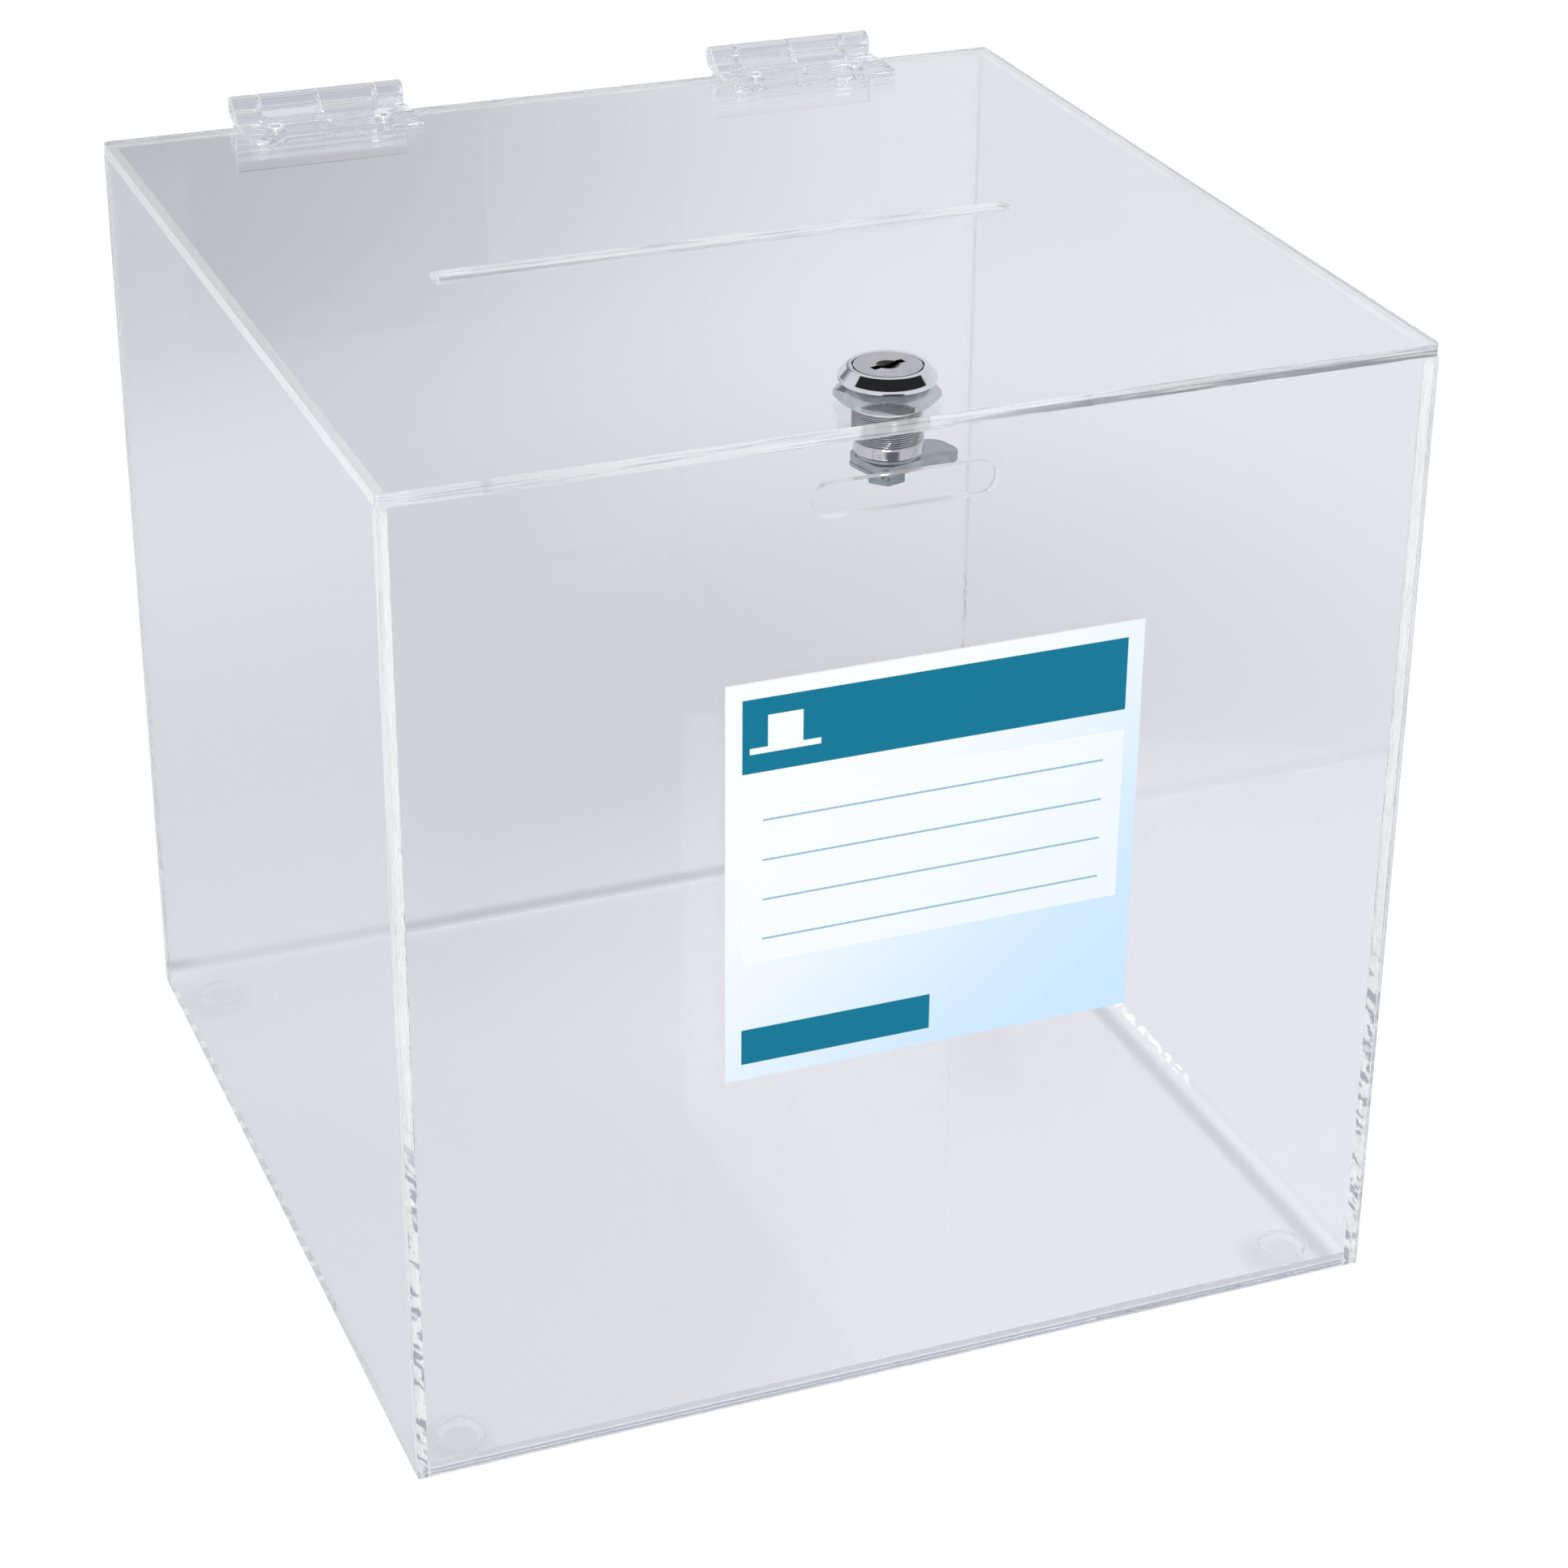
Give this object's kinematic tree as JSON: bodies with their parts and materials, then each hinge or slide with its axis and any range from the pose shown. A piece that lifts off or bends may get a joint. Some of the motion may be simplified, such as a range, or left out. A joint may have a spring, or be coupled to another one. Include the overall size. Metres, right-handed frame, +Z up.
{
  "type": "drop box",
  "caption": "Clear square drop box with a hinged lid, paper slot, cam lock through the front panel, printed card and domed feet.",
  "frame": {"origin": "middle of the bounding box at the level of the foot pads, lid closed and lock open", "axes": "+Z up, -Y towards the front panel with the cam slot, +X to the right seen from the front"},
  "size_m": [0.25, 0.2572, 0.2625],
  "materials": {
    "acrylic": "clear, polished, cut edges slightly darker",
    "hinge_plastic": "clear moulded, fine lengthwise ribs",
    "chrome": "bright plated",
    "zinc": "bluish zinc plate",
    "satin_steel": "satin",
    "brass": "stamped, dull",
    "foot_rubber": "clear, soft",
    "card": "smooth printed card"
  },
  "bodies": {
    "case": {"base_panel": "acrylic", "front_panel": "acrylic", "back_panel": "acrylic", "left_panel": "acrylic", "right_panel": "acrylic", "left_hinge_back_leaf": "hinge_plastic", "right_hinge_back_leaf": "hinge_plastic", "left_hinge_pin": "hinge_plastic", "right_hinge_pin": "hinge_plastic", "foot_front_left": "foot_rubber", "foot_front_right": "foot_rubber", "foot_back_left": "foot_rubber", "foot_back_right": "foot_rubber", "label_card": "card"},
    "lid": {"lid_panel": "acrylic", "left_hinge_lid_leaf": "hinge_plastic", "right_hinge_lid_leaf": "hinge_plastic", "lock_housing": "chrome", "lock_nut": "zinc"},
    "lock_core": {"lock_plug": "satin_steel", "wafer_1": "brass", "wafer_2": "brass", "wafer_3": "brass", "wafer_4": "brass", "plug_clip": "zinc", "cam": "zinc", "cam_washer": "zinc", "cam_screw": "zinc"}
  },
  "joints": [
    {"name": "lid_hinge", "type": "hinge", "parent": "case", "child": "lid", "pos_m": [0, 0.12575, 0.2585], "axis": [-1, 0, 0], "range_deg": [0, 265]},
    {"name": "lock_turn", "type": "hinge", "parent": "lid", "child": "lock_core", "pos_m": [-0.006, -0.11585, 0.2543], "axis": [0, 0, -1], "range_deg": [0, 90]}
  ]
}
